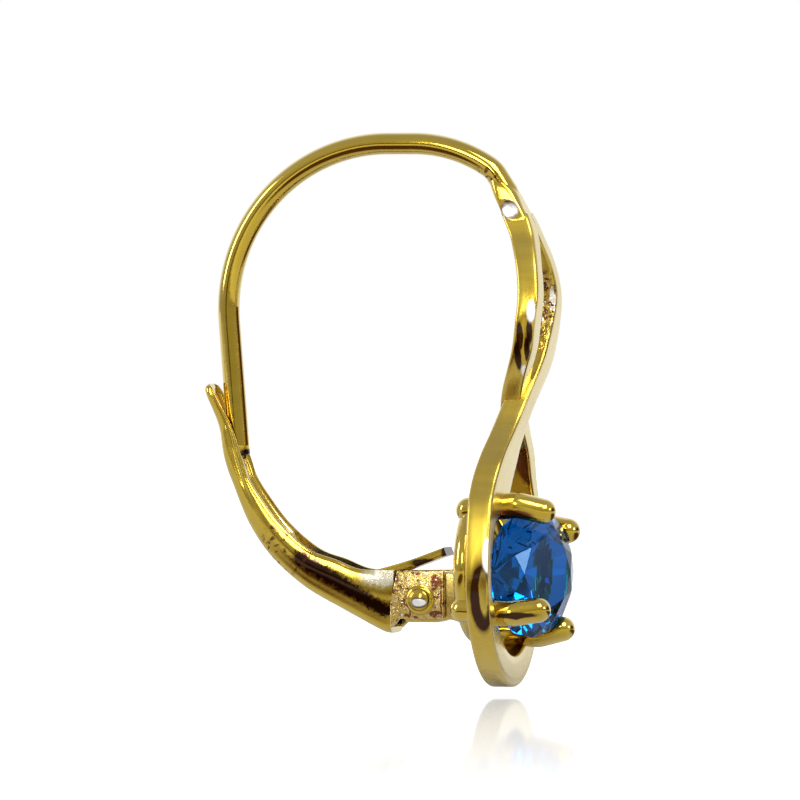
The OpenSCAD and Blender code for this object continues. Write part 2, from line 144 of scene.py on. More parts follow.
# swirl: one ribbon that runs from the head, over the crossing, round the lower loop and back
swirl = {
    "drop": 20.45, "halfLoop": 4.175, "ribbonW": 2.2, "reach": 5.92, "ribbonT": 0.93,
    "girdle": 0.851,  # share of the reach where the stone's girdle lies
    "edgeRound": 0.12, "rubs": 40, "crossingZ": -9.3, "crossingReach": 2.1,
    "frontSwell": 0.12, "frontHollow": 0.10, "backDip": 0.16, "backBulge": 0.04,
    "front": [  # down, across, broad
        [0.116, 0.030, 0.36], [0.130, 0.055, 0.40], [0.162, 0.110, 0.38], [0.196, 0.235, 0.36],
        [0.260, 0.362, 0.36], [0.323, 0.347, 0.57], [0.392, 0.215, 0.64], [0.450, 0.024, 0.66],
        [0.509, -0.096, 0.66], [0.578, -0.300, 0.96], [0.617, -0.460, 1.00], [0.646, -0.640, 0.72],
        [0.675, -0.805, 0.43], [0.763, -0.936, 0.26], [0.830, -0.905, 0.30], [0.885, -0.760, 0.44],
        [0.928, -0.560, 0.53], [0.957, -0.330, 0.55], [0.9685, -0.120, 0.55],
        [0.970, 0.000, 0.55]],
    "back": [
        [0.116, -0.030, 0.36], [0.130, -0.055, 0.40], [0.162, -0.120, 0.36], [0.196, -0.245, 0.35],
        [0.260, -0.335, 0.48], [0.323, -0.368, 0.52], [0.392, -0.300, 0.43], [0.450, -0.084, 0.41],
        [0.509, 0.180, 0.38], [0.578, 0.526, 0.36], [0.651, 0.800, 0.34], [0.744, 0.909, 0.34],
        [0.822, 0.885, 0.36], [0.880, 0.760, 0.43], [0.926, 0.560, 0.52], [0.957, 0.330, 0.55],
        [0.9685, 0.120, 0.55], [0.970, 0.000, 0.55]],
    "side": [  # down, forward, thick
        [0.052, 0.748, 0.86], [0.060, 0.792, 1.12], [0.072, 0.806, 1.16], [0.088, 0.828, 1.17],
        [0.124, 0.890, 1.12], [0.161, 0.936, 1.02], [0.208, 0.978, 0.93], [0.262, 1.000, 0.88],
        [0.316, 0.985, 0.86], [0.365, 0.961, 0.88], [0.404, 0.925, 0.92], [0.443, 0.880, 0.98],
        [0.482, 0.841, 1.01], [0.521, 0.817, 1.03], [0.570, 0.794, 1.06], [0.619, 0.773, 1.07],
        [0.690, 0.770, 1.02], [0.790, 0.770, 1.00], [1.010, 0.770, 1.00]],
}
sideLine = blendRows(swirl["side"], 8)


def sideAt(z):
    # front face Y and thickness of the swirl at a height
    share = -z / swirl["drop"]
    rows = sideLine
    if share <= rows[0][0]:
        row = rows[0]
    elif share >= rows[-1][0]:
        row = rows[-1]
    else:
        i = next(k for k in range(len(rows) - 1) if rows[k][0] <= share <= rows[k + 1][0])
        t = (share - rows[i][0]) / max(rows[i + 1][0] - rows[i][0], 1e-9)
        row = [a + (b - a) * t for a, b in zip(rows[i], rows[i + 1])]
    return -row[1] * swirl["reach"], row[2] * swirl["ribbonT"]


def roundedSection(halfW, halfT, radius, steps=4):
    # a rounded rectangle about its middle, with three points along each straight side
    most = 0.95  # of half a side, which a corner may take up
    radius = min(radius, most * halfW, most * halfT)
    corners = []
    for sx, sy, start in ((1, 1, 0), (-1, 1, 90), (-1, -1, 180), (1, -1, 270)):
        middle = (sx * (halfW - radius), sy * (halfT - radius))
        corners.append(arc(middle, radius, start, start + 90, steps))
    out = []
    for corner, following in zip(corners, corners[1:] + corners[:1]):
        first, last = corner[-1], following[0]
        out += corner + [tuple(f + (l - f) * k / 4 for f, l in zip(first, last)) for k in (1, 2, 3)]
    return out


def buildRibbons():
    steps = 12
    runs = []
    for rows, over in ((swirl["front"], 1), (swirl["back"], -1)):
        runs.append([[-down * swirl["drop"], across * swirl["halfLoop"],
                      broad * swirl["ribbonW"] / 2, over]
                     for down, across, broad in blendRows(rows, steps)])
    stations = runs[0] + runs[1][::-1][1:]
    # the tables' small corners are rubbed out along the ribbon
    for turn in range(swirl["rubs"]):
        stations = [stations[0]] + [
            [(p + 2 * q + r) / 4 for p, q, r in zip(a[:3], b[:3], c[:3])] + [b[3]]
            for a, b, c in zip(stations, stations[1:], stations[2:])] + [stations[-1]]
    rings = []
    for i, (z, x, half, over) in enumerate(stations):
        before, after = stations[max(i - 1, 0)], stations[min(i + 1, len(stations) - 1)]
        dx, dz = after[1] - before[1], after[0] - before[0]
        length = math.hypot(dx, dz)
        dx, dz = dx / length, dz / length
        thick = sideAt(z)[1]
        ring = []
        for a, b in roundedSection(half, thick / 2, swirl["edgeRound"]):
            px, pz = x - dz * a, z + dx * a
            yf, t = sideAt(pz)
            depth = (b + thick / 2) / thick  # 1 at the back, 0 at the front
            y = yf + depth * t
            # the front ribbon swells at the crossing and the other dips under it
            away = (pz - swirl["crossingZ"]) / swirl["crossingReach"]
            near = max(0.0, 1 - away ** 2) ** 1.5
            if over > 0:
                y -= near * (swirl["frontSwell"] * (1 - depth) + swirl["frontHollow"] * depth)
            else:
                y += near * (swirl["backDip"] * (1 - depth) + swirl["backBulge"] * depth)
            ring.append((px, y, pz))
        rings.append(ring)
    return skin("swirl_ribbons", rings, smoothAngle=60)


# head of the swirl, where the ear wire enters it, with a round dent in its near side
headShape = {
    "rows": [  # height, half width, front, back
        [-0.80, 0.33, -4.20, -3.42], [-0.95, 0.385, -4.35, -3.46], [-1.10, 0.43, -4.50, -3.52],
        [-1.25, 0.47, -4.62, -3.58], [-1.45, 0.505, -4.74, -3.66], [-1.70, 0.54, -4.86, -3.77],
        [-1.95, 0.57, -4.98, -3.90], [-2.20, 0.60, -5.12, -4.03], [-2.45, 0.63, -5.24, -4.15],
        [-2.70, 0.64, -5.34, -4.28], [-2.95, 0.58, -5.40, -4.42], [-3.20, 0.42, -5.42, -4.55],
        [-3.38, 0.22, -5.40, -4.70]],
    "corner": 0.2, "roundAbove": -2.0, "slant": 0.24, "nearSide": 0.6,
    "dentY": -4.46, "dentZ": -2.12, "dentR": 0.42, "dentDepth": 0.14,
}


def buildHead():
    rings = []
    for z, half, front, back in blendRows(headShape["rows"], 8):
        ring = []
        # the corners grow until the top is as round as the wire
        corner = headShape["corner"] * (1 + min(1.0, max(0.0, z - headShape["roundAbove"])))
        for a, b in roundedSection(half, (back - front) / 2, corner, steps=8):
            x, y = a, (front + back) / 2 + b
            away = math.hypot(y - headShape["dentY"], z - headShape["dentZ"]) / headShape["dentR"]
            if x < -headShape["nearSide"] * half and away < 1:
                x += headShape["dentDepth"] * (1 - away * away) ** 1.5
            ring.append((x, y, z + headShape["slant"] * b))
        rings.append(ring)
    return skin("swirl_head", rings, smoothAngle=70)


# back bend with a straight leg, level crown, front bend, short bend and straight tail
wire = {"d": 0.842, "backR": 6.35, "frontR": 5.4, "crown": 1.05, "frontTurn": 33, "shortR": 1.2,
        "shortTurn": 24, "tail": 1.05, "lean": 4.5, "leg": 5.2, "edge": 0.06}


def buildWire():
    r = wire["d"] / 2
    lean = math.radians(wire["lean"])
    backMiddle = (wire["crown"] / 2, r - wire["backR"])
    frontMiddle = (-wire["crown"] / 2, r - wire["frontR"])
    backBend = arc(backMiddle, wire["backR"], -wire["lean"], 90, 48)
    y, z = backBend[0]
    leg = []
    for k in range(12):
        s = wire["leg"] * (1 - k / 12)
        leg.append((y - s * math.sin(lean), z - s * math.cos(lean)))
    turn = 90 + wire["frontTurn"]
    frontBend = arc(frontMiddle, wire["frontR"], 90, turn, 20)
    # the short bend goes on from the front bend without a kink
    shortMiddle = arc(frontMiddle, wire["frontR"] - wire["shortR"], 90, turn, 1)[-1]
    shortBend = arc(shortMiddle, wire["shortR"], turn, turn + wire["shortTurn"], 8)
    y, z = shortBend[-1]
    last = math.radians(turn + wire["shortTurn"])
    tail = []
    for k in range(1, 5):
        s = wire["tail"] * k / 4
        tail.append((y - s * math.sin(last), z + s * math.cos(last)))
    path = leg + backBend + frontBend + shortBend[1:] + tail
    radii = [r] * len(path)
    # both cut ends have their edge broken
    edge = wire["edge"]
    first = (path[0][0] + edge * math.sin(lean), path[0][1] + edge * math.cos(lean))
    path = [path[0], first] + path[1:]
    radii = [r - edge, r] + radii[1:]
    radii[-1] = r - edge
    return tube("ear_wire", [(0, y, z) for y, z in path], radii, sides=40)


# heights in the setting count forward from the stone's girdle
setting = {"y": -swirl["girdle"] * swirl["reach"], "z": -15.95, "stoneR": 2.5, "prongR": 0.5,
           "turn": 32.6, "taper": 0.012, "endR": 0.02, "toHinge": 4.02,
           "ringR": 0.42, "ringMajor": 2.45, "ringBack": 1.89,
           # how far in from its knee a prong is, and at what height
           "marks": [(0.25, -1.95), (0.02, -0.16), (0.012, 0.0), (0.045, 0.16), (0.28, 1.0)]}


def onSetting(x, y, h):
    return (x, setting["y"] - h, setting["z"] + y)


def buildProngs():
    pieces = []
    knee = setting["stoneR"] + setting["prongR"]
    marks = [(knee - inward, height) for inward, height in setting["marks"]]
    for k in range(4):
        angle = math.radians(setting["turn"] + 90 * k)
        line = []
        for (r0, h0), (r1, h1) in zip(marks, marks[1:]):
            for j in range(4):
                line.append((r0 + (r1 - r0) * j / 4, h0 + (h1 - h0) * j / 4))
        line.append(marks[-1])
        radii = [setting["prongR"] - setting["taper"] * max(0.0, h) for r, h in line]
        footR, tipR = radii[0], radii[-1]
        start, end = line[0], line[-1]
        foot, tip = [], []
        for j in range(8):
            a = math.radians(90 * (1 - j / 8))
            b = math.radians(90 * (j + 1) / 8)
            foot.append(((start[0], start[1] - footR * math.sin(a)),
                         max(footR * math.cos(a), setting["endR"])))
            tip.append(((end[0], end[1] + tipR * math.sin(b)),
                        max(tipR * math.cos(b), setting["endR"])))
        full = [f[0] for f in foot] + line + [t[0] for t in tip]
        radii = [f[1] for f in foot] + radii + [t[1] for t in tip]
        path = [onSetting(r * math.cos(angle), r * math.sin(angle), h) for r, h in full]
        pieces.append(tube("prong_%d" % (k + 1), path, radii, sides=36, smoothAngle=70))
    return pieces


def buildRing():
    around, sides = 96, 28
    rings = []
    for k in range(around):
        a = 2 * math.pi * k / around
        ring = []
        for j in range(sides):
            b = 2 * math.pi * j / sides
            r = setting["ringMajor"] + setting["ringR"] * math.cos(b)
            ring.append(onSetting(r * math.cos(a), r * math.sin(a),
                                  setting["ringR"] * math.sin(b) - setting["ringBack"]))
        rings.append(ring)
    return skin("setting_ring", rings, closed=True, smoothAngle=180)


hinge = {"y": setting["y"] + setting["toHinge"], "z": -17.09}
# hinge post: its round end is about the rivet, and its foot is soldered to the ring
postShape = {"half": 0.7, "r": 1.05, "under": 0.88, "rise": 1.05, "top": 0.42, "waist": 0.32,
             "step": 0.74, "belly": (0.67, 0.86), "foot": 0.21, "edge": 0.07}


def buildPost():
    y, z = hinge["y"], hinge["z"]
    r, foot = postShape["r"], postShape["foot"]
    ringY = setting["y"] + setting["ringBack"]
    footZ = setting["z"] - setting["ringMajor"]
    outline = [(ringY + postShape["top"], z + postShape["rise"])]
    low = -math.degrees(math.asin(postShape["under"] / r))
    outline += arc((y, z), r, 90, low, 24)
    outline += [(y - r * math.cos(math.radians(low)), z - postShape["under"]),
                (y - r, z - postShape["step"]),
                (ringY + postShape["belly"][0], z - postShape["belly"][1]),
                (ringY + foot, footZ - foot), (ringY, footZ - foot), (ringY, footZ + foot),
                (ringY + postShape["waist"], z + postShape["rise"] / 2)]
    return roundedPlate("hinge_post", outline, -postShape["half"], postShape["half"],
                        postShape["edge"])


lever = {
    "halfHinge": 1.0, "halfTip": 0.7, "wall": 0.22, "back": 0.2, "restGap": 0.05,
    "corner": 0.34, "innerCorner": 0.15, "crown": 0.03,
    # shares of the way from the tip to the hinge
    "widenFrom": 0.15, "widenOver": 0.55, "tipRound": 0.045, "tipShare": 0.55,
    "shallowTo": 0.72, "shallowOver": 0.16, "grooveAt": 0.2, "grooveOver": 0.17, "bulgeOver": 0.4,
    # depths, and shares of a wall's height
    "shallow": 0.16, "bulge": 0.08, "bulgeDepth": 1.5,
    "groove": 0.10, "grooveMin": 0.3, "grooveHeight": 0.45, "grooveWide": 0.16,
    "lipRise": 0.03, "lipEdge": 0.05, "restFrom": 0.02, "restMin": 0.06, "depthMin": 0.05,
    # the most of the depth that each takes, and the most of the half width
    "wallMost": 0.45, "webMost": 0.8, "cornerMost": (0.6, 0.45), "innerMost": (0.3, 0.5),
    "spanY": 7.4654, "riseZ": 5.632,
    "outer": [  # along, up: shares of spanY and riseZ, counted from the rivet
        [1.150, 1.465], [1.166, 1.435], [1.155, 1.380], [1.122, 1.280], [1.094, 1.175],
        [1.074, 1.000], [1.048, 0.877], [1.013, 0.765], [0.970, 0.625], [0.920, 0.490],
        [0.840, 0.335], [0.740, 0.200], [0.602, 0.060], [0.410, -0.078], [0.210, -0.215],
        [0.160, -0.225]],
    "inner": [
        [1.150, 1.465], [1.126, 1.430], [1.098, 1.360], [1.040, 1.215], [1.008, 1.120],
        [0.985, 1.030], [0.957, 0.925], [0.930, 0.822], [0.860, 0.680], [0.752, 0.500],
        [0.600, 0.335], [0.455, 0.265], [0.322, 0.200], [0.142, 0.195]],
    "cheekEdge": 0.05,
    "cheek": [  # behind and above the rivet
        (-0.95, 1.126), (0.30, 1.11), (0.92, 1.10), (1.20, -0.10), (1.20, -1.14), (0.92, -0.88),
        (0.82, -0.73), (-0.95, -0.73)],
}


def evenPoints(points, count):
    # the same line cut into equal steps
    lengths = [0.0]
    for p, q in zip(points, points[1:]):
        lengths.append(lengths[-1] + math.dist(p, q))
    out = []
    for k in range(count):
        s = lengths[-1] * k / (count - 1)
        i = max(j for j in range(len(points) - 1) if lengths[j] <= s + 1e-9)
        t = (s - lengths[i]) / max(lengths[i + 1] - lengths[i], 1e-9)
        out.append(tuple(a + (b - a) * t for a, b in zip(points[i], points[i + 1])))
    return out


def leverLine(rows, count):
    line = [(hinge["y"] + along * lever["spanY"], hinge["z"] + up * lever["riseZ"])
            for along, up in blendRows(rows, 6)]
    return evenPoints(line, count)


def clamped(value):
    return min(1.0, max(0.0, value))


def flipped(points):
    return [(-x, b) for x, b in points]


def leverSection(along, depth):
    # outline across the channel, as x and the height above the outside of its back
    half = lever["halfHinge"] - lever["halfTip"]
    half = lever["halfTip"] + half * clamped((along - lever["widenFrom"]) / lever["widenOver"])
    fromTip = max(0.0, 1 - along / lever["tipRound"])
    half *= min(1.0, lever["tipShare"] + (1 - lever["tipShare"]) * (1 - fromTip ** 2) ** 0.5)
    wall = min(lever["wall"], lever["wallMost"] * depth)
    shallow = clamped((lever["shallowTo"] - along) / lever["shallowOver"])
    web = max(lever["back"], shallow * (depth - lever["shallow"]))
    web = min(web, lever["webMost"] * depth)
    ofDepth, ofHalf = lever["cornerMost"]
    corner = min(lever["corner"], ofDepth * depth, ofHalf * half)
    groove = 0
    if depth > lever["grooveMin"]:
        groove = lever["groove"] * math.exp(-((along - lever["grooveAt"]) / lever["grooveOver"]) ** 2)
    bulge = lever["bulge"] * min(1, depth / lever["bulgeDepth"]) * min(1, along / lever["bulgeOver"])
    edge = half - bulge
    flat = edge - corner
    # outside, from a wall's free edge to the middle of the back
    outside = []
    for k in range(9):
        b = depth - (depth - corner) * k / 8
        share = (b - corner) / max(depth - corner, 1e-6)
        cut = groove * math.exp(-((share - lever["grooveHeight"]) / lever["grooveWide"]) ** 2)
        cut += bulge * (2 * share - 1) ** 2
        outside.append((half - cut, b))
    outside += arc((flat, corner), corner, 0, -90, 8)[1:]
    for k in range(1, 4):
        x = flat * (1 - k / 4)
        outside.append((x, -lever["crown"] * (1 - (x / max(flat, 1e-6)) ** 2)))
    # inside, the same way
    inHalf = half - wall
    ofDepth, ofHalf = lever["innerMost"]
    inCorner = min(lever["innerCorner"], ofDepth * depth, ofHalf * inHalf)
    lip = depth + lever["lipRise"]
    inside = [(edge - lever["lipEdge"], lip), (inHalf + lever["lipEdge"], lip)]
    inside += [(inHalf, depth - (depth - web - inCorner) * k / 6) for k in range(7)]
    inside += arc((inHalf - inCorner, web + inCorner), inCorner, 0, -90, 4)[1:]
    inside += [((inHalf - inCorner) * (1 - k / 5), web) for k in range(1, 5)]
    return flipped(outside) + outside[::-1] + inside + flipped(inside)[::-1]


def buildLever():
    count = 110
    outer = leverLine(lever["outer"], count)
    inner = leverLine(lever["inner"], count)
    lean = math.radians(wire["lean"])
    endY = wire["crown"] / 2 + wire["backR"] * math.cos(lean) - wire["leg"] * math.sin(lean)
    endZ = (wire["d"] / 2 - wire["backR"] - wire["backR"] * math.sin(lean)
            - wire["leg"] * math.cos(lean))
    clear = wire["d"] / 2 + lever["restGap"]
    rings = []
    for i in range(count):
        (oy, oz), (iy, iz) = outer[i], inner[i]
        depth = max(math.hypot(iy - oy, iz - oz), lever["depthMin"])
        ny, nz = (iy - oy) / depth, (iz - oz) / depth
        # the end of the ear wire rests in a groove in the channel's floor
        ring = []
        for x, b in leverSection(i / (count - 1), depth):
            py, pz = oy + ny * b - endY, oz + nz * b - endZ
            across = py * math.cos(lean) - pz * math.sin(lean)
            down = -py * math.sin(lean) - pz * math.cos(lean)
            if b > lever["restFrom"] and down < lever["restGap"] and abs(x) < clear:
                reach = math.sqrt(clear * clear - x * x)
                if -clear < across < reach:
                    slope = ny * math.cos(lean) - nz * math.sin(lean)
                    b = max(lever["restMin"], b + (reach - across) / slope)
            ring.append((x, oy + ny * b, oz + nz * b))
        rings.append(ring)
    channel = skin("lever_channel", rings, smoothAngle=50)
    cheekLine = [(hinge["y"] + a, hinge["z"] + b) for a, b in lever["cheek"]]
    sides = (("near", -lever["halfHinge"]), ("far", lever["halfHinge"] - lever["wall"]))
    cheeks = [roundedPlate("lever_cheek_%s" % name, cheekLine, low, low + lever["wall"],
                           lever["cheekEdge"]) for name, low in sides]
    return [channel] + cheeks


spring = {"t": 0.33, "half": 0.6, "edge": 0.06,
          "rows": [  # behind and above the rivet
              [4.68, 0.77], [3.62, 0.52], [2.90, 0.60], [2.10, 0.74], [1.20, 0.97], [0.40, 1.21],
              [-0.30, 1.46], [-0.95, 1.70]]}


def buildSpring():
    line = blendRows(spring["rows"], 6)
    rings = []
    for i, (a, b) in enumerate(line):
        before, after = line[max(i - 1, 0)], line[min(i + 1, len(line) - 1)]
        da, db = after[0] - before[0], after[1] - before[1]
        length = math.hypot(da, db)
        ny, nz = db / length, -da / length  # upwards, out of the channel
        base = (hinge["y"] + a, hinge["z"] + b)
        rings.append([(x, base[0] + ny * (t + spring["t"] / 2), base[1] + nz * (t + spring["t"] / 2))
                      for x, t in roundedSection(spring["half"], spring["t"] / 2, spring["edge"])])
    return skin("spring_strip", rings, smoothAngle=50)


rivet = {"headR": 0.56, "headH": 0.2, "off": 0.02,
         "foot": [(0.30, -0.25), (0.30, -0.01), (0.54, 0.0), (0.56, 0.03)], "domeFrom": 0.035,
         # the punch left a ring on the head
         "punchR": 0.40, "punchWide": 0.05, "punchDepth": 0.035, "middleR": 0.01}


def buildRivet():
    pieces = []
    headR, headH = rivet["headR"], rivet["headH"]
    dome = (headR ** 2 + headH ** 2) / (2 * headH)
    for name, side in (("near", -1), ("far", 1)):
        profile = list(rivet["foot"])
        for k in range(1, 25):
            r = headR * (1 - k / 24)
            h = math.sqrt(dome * dome - r * r) - (dome - headH)
            h -= rivet["punchDepth"] * max(0.0, 1 - abs(r - rivet["punchR"]) / rivet["punchWide"])
            if h > rivet["domeFrom"]:
                profile.append((max(r, rivet["middleR"]), h))
        pieces.append(lathe("rivet_head_%s" % name, profile,
                            (side * (lever["halfHinge"] + rivet["off"]), hinge["y"], hinge["z"]),
                            lambda a, b, h, side=side: (side * h, a, b)))
    return pieces


ribbons = buildRibbons()
head = buildHead()
earWire = buildWire()
prongs = buildProngs()
ring = buildRing()
post = buildPost()
leverPieces = buildLever()
strip = buildSpring()
rivets = buildRivet()
print("shapes built")


def feed(tree, node, inputs):
    # each input takes a number, a vector, a colour or another node's output
    for label, value in inputs.items():
        socket = node.inputs[label]
        if isinstance(value, bpy.types.NodeSocket):
            tree.links.new(value, socket)
        elif socket.type == "RGBA":
            socket.default_value = (*value, 1)
        else:
            socket.default_value = value


def added(tree, kind, inputs, **settings):
    node = tree.nodes.new(kind)
    for label, value in settings.items():
        setattr(node, label, value)
    feed(tree, node, inputs)
    return node


def combined(tree, operation, *values):
    node = added(tree, "ShaderNodeMath", dict(enumerate(values)), operation=operation)
    return node.outputs["Value"]


def combinedVectors(tree, operation, first, second):
    node = added(tree, "ShaderNodeVectorMath", {0: first, 1: second}, operation=operation)
    return node.outputs["Value" if operation == "DOT_PRODUCT" else "Vector"]


def between(tree, value):
    return combined(tree, "MINIMUM", combined(tree, "MAXIMUM", value, 0), 1)


def mapped(tree, value, start, end, low=0, high=1, curve="LINEAR"):
    return added(tree, "ShaderNodeMapRange", {
        "Value": value, "From Min": start, "From Max": end, "To Min": low, "To Max": high},
        interpolation_type=curve).outputs["Result"]


def mixColours(tree, factor, first, second):
    return added(tree, "ShaderNodeMix", {"Factor": factor, "A": first, "B": second},
                 data_type="RGBA").outputs["Result"]


def mixShaders(tree, factor, first, second):
    return added(tree, "ShaderNodeMixShader", {"Fac": factor, 1: first, 2: second}).outputs["Shader"]


def noise(tree, vector, size, detail):
    return added(tree, "ShaderNodeTexNoise", {"Vector": vector, "Scale": size, "Detail": detail})


def bumped(tree, height, depth, normal, invert=False):
    return added(tree, "ShaderNodeBump", {"Height": height, "Distance": depth * mm, "Normal": normal},
                 invert=invert).outputs["Normal"]


def group(name, inputs, outputs):
    tree = bpy.data.node_groups.new(name, "ShaderNodeTree")
    for label, kind, value in inputs:
        socket = tree.interface.new_socket(name=label, in_out="INPUT", socket_type=kind)
        if value is not None:
            socket.default_value = value
    for label, kind in outputs:
        tree.interface.new_socket(name=label, in_out="OUTPUT", socket_type=kind)
    return tree, tree.nodes.new("NodeGroupInput").outputs, tree.nodes.new("NodeGroupOutput")


def fineGrain():
    # fine cast or tumbled grain, as a height and a normal
    tree, start, end = group("fineGrain", [
        ("Vector", "NodeSocketVector", None), ("Size", "NodeSocketFloat", 900.0),
        ("Depth", "NodeSocketFloat", 0.1), ("Distance", "NodeSocketFloat", 0.00002)],
        [("Height", "NodeSocketFloat"), ("Normal", "NodeSocketVector")])
    grain = noise(tree, start["Vector"], start["Size"], 6)
    feed(tree, grain, {"Roughness": 0.65})
    bump = added(tree, "ShaderNodeBump", {
        "Height": grain.outputs["Fac"], "Strength": start["Depth"], "Distance": start["Distance"]})
    feed(tree, end, {"Height": grain.outputs["Fac"], "Normal": bump.outputs["Normal"]})
    return tree


def rubMarks():
    # patches and fine streaks where the polish is duller, as a roughness and a mask
    look = {"stretch": (1.0, 0.12, 1.0), "streakSize": 2500, "streaks": 0.4, "from": 0.5, "to": 0.9}
    tree, start, end = group("rubMarks", [
        ("Vector", "NodeSocketVector", None), ("Size", "NodeSocketFloat", 350.0),
        ("Low", "NodeSocketFloat", 0.08), ("High", "NodeSocketFloat", 0.2)],
        [("Roughness", "NodeSocketFloat"), ("Mask", "NodeSocketFloat")])
    stretched = combinedVectors(tree, "MULTIPLY", start["Vector"], look["stretch"])
    streaks = noise(tree, stretched, look["streakSize"], 2).outputs["Fac"]
    patches = noise(tree, start["Vector"], start["Size"], 4).outputs["Fac"]
    mask = combined(tree, "MULTIPLY_ADD", streaks, look["streaks"], patches)
    rough = mapped(tree, mask, look["from"], look["to"], start["Low"], start["High"])
    feed(tree, end, {"Roughness": rough, "Mask": mask})
    return tree


def softSpot():
    # a smooth round or oval spot, as a mask from 0 outside to 1 at its middle
    tree, start, end = group("softSpot", [
        ("Vector", "NodeSocketVector", None), ("Middle", "NodeSocketVector", (0, 0, 0)),
        ("Reach", "NodeSocketVector", (1, 1, 1)), ("Sharpness", "NodeSocketFloat", 1.0)],
        [("Mask", "NodeSocketFloat")])
    apart = combinedVectors(tree, "SUBTRACT", start["Vector"], start["Middle"])
    share = combinedVectors(tree, "DIVIDE", apart, start["Reach"])
    length = added(tree, "ShaderNodeVectorMath", {0: share}, operation="LENGTH").outputs["Value"]
    mask = mapped(tree, length, 1, 0, curve="SMOOTHERSTEP")
    mask = combined(tree, "MULTIPLY", mask, start["Sharpness"])
    feed(tree, end, {"Mask": combined(tree, "MINIMUM", mask, 1)})
    return tree


def raggedRims():
    # moves the place to and fro by up to an amount, so that the rims of the marks wander
    tree, start, end = group("raggedRims", [
        ("Vector", "NodeSocketVector", None), ("Size", "NodeSocketFloat", 2500.0),
        ("Amount", "NodeSocketFloat", 0.0001)], [("Vector", "NodeSocketVector")])
    wander = noise(tree, start["Vector"], start["Size"], 4).outputs["Color"]
    wander = combinedVectors(tree, "SUBTRACT", wander, (0.5, 0.5, 0.5))
    moved = added(tree, "ShaderNodeVectorMath", {
        0: wander, "Scale": combined(tree, "MULTIPLY", start["Amount"], 2)}, operation="SCALE")
    feed(tree, end, {
        "Vector": combinedVectors(tree, "ADD", start["Vector"], moved.outputs["Vector"])})
    return tree


def fineSpecks():
    # a sprinkling of pits or glints, as a mask; a higher level leaves fewer
    tree, start, end = group("fineSpecks", [
        ("Vector", "NodeSocketVector", None), ("Size", "NodeSocketFloat", 5000.0),
        ("Level", "NodeSocketFloat", 0.5), ("Sharpness", "NodeSocketFloat", 14.0)],
        [("Mask", "NodeSocketFloat")])
    specks = noise(tree, start["Vector"], start["Size"], 3).outputs["Fac"]
    above = combined(tree, "SUBTRACT", specks, start["Level"])
    mask = between(tree, combined(tree, "MULTIPLY", above, start["Sharpness"]))
    feed(tree, end, {"Mask": mask})
    return tree


grainGroup = fineGrain()
rubGroup = rubMarks()
spotGroup = softSpot()
raggedGroup = raggedRims()
speckGroup = fineSpecks()


def fromGroup(tree, which, inputs):
    return added(tree, "ShaderNodeGroup", inputs, node_tree=which).outputs


def spotMask(tree, place, middle, reach, sharpness=1):
    return fromGroup(tree, spotGroup, {
        "Vector": place, "Middle": [c * mm for c in middle], "Reach": [c * mm for c in reach],
        "Sharpness": sharpness})["Mask"]


def startMaterial(name, look):
    # a material with its fine grain
    made = bpy.data.materials.new(name)
    made.use_nodes = True
    tree = made.node_tree
    place = tree.nodes.new("ShaderNodeTexCoord")
    grain = fromGroup(tree, grainGroup, {
        "Vector": place.outputs["Object"], "Size": look["grainSize"], "Depth": look["grainDepth"],
        "Distance": look["grainDistance"]})
    return made, tree, tree.nodes["Principled BSDF"], place, grain


# colours of the marks: painted shade and dark reflections, painted highlights and glints, painted
# red-brown shade under the prongs and round the rivet, and dark red-brown specks
paintedShade, paintedHighlight = (0.045, 0.013, 0.002), (0.98, 0.96, 0.92)
paintedRedBrownShade, darkRedBrownSpecks = (0.16, 0.05, 0.01), (0.13, 0.045, 0.008)

# what all the gold materials share
gold = {"edgeBlend": 0.25, "coatRoughness": 0.08, "frost": 0.3, "lumpDetail": 3,
        "wallSlope": 4, "nearFrom": 0.5, "wallTo": 0.6, "zoneSharpness": 4, "roughSharpness": 6}


def wallMasks(tree, normal):
    # a ribbon's walls that face the near side, and all its walls, without its front and back
    slope = gold["wallSlope"]
    facing = added(tree, "ShaderNodeSeparateXYZ", {"Vector": normal}).outputs
    near = combined(tree, "MULTIPLY", facing["X"], -slope)
    near = between(tree, combined(tree, "SUBTRACT", near, slope * gold["nearFrom"]))
    flat = combined(tree, "MULTIPLY", combined(tree, "ABSOLUTE", facing["Y"]), slope)
    return near, between(tree, combined(tree, "SUBTRACT", slope * gold["wallTo"], flat))


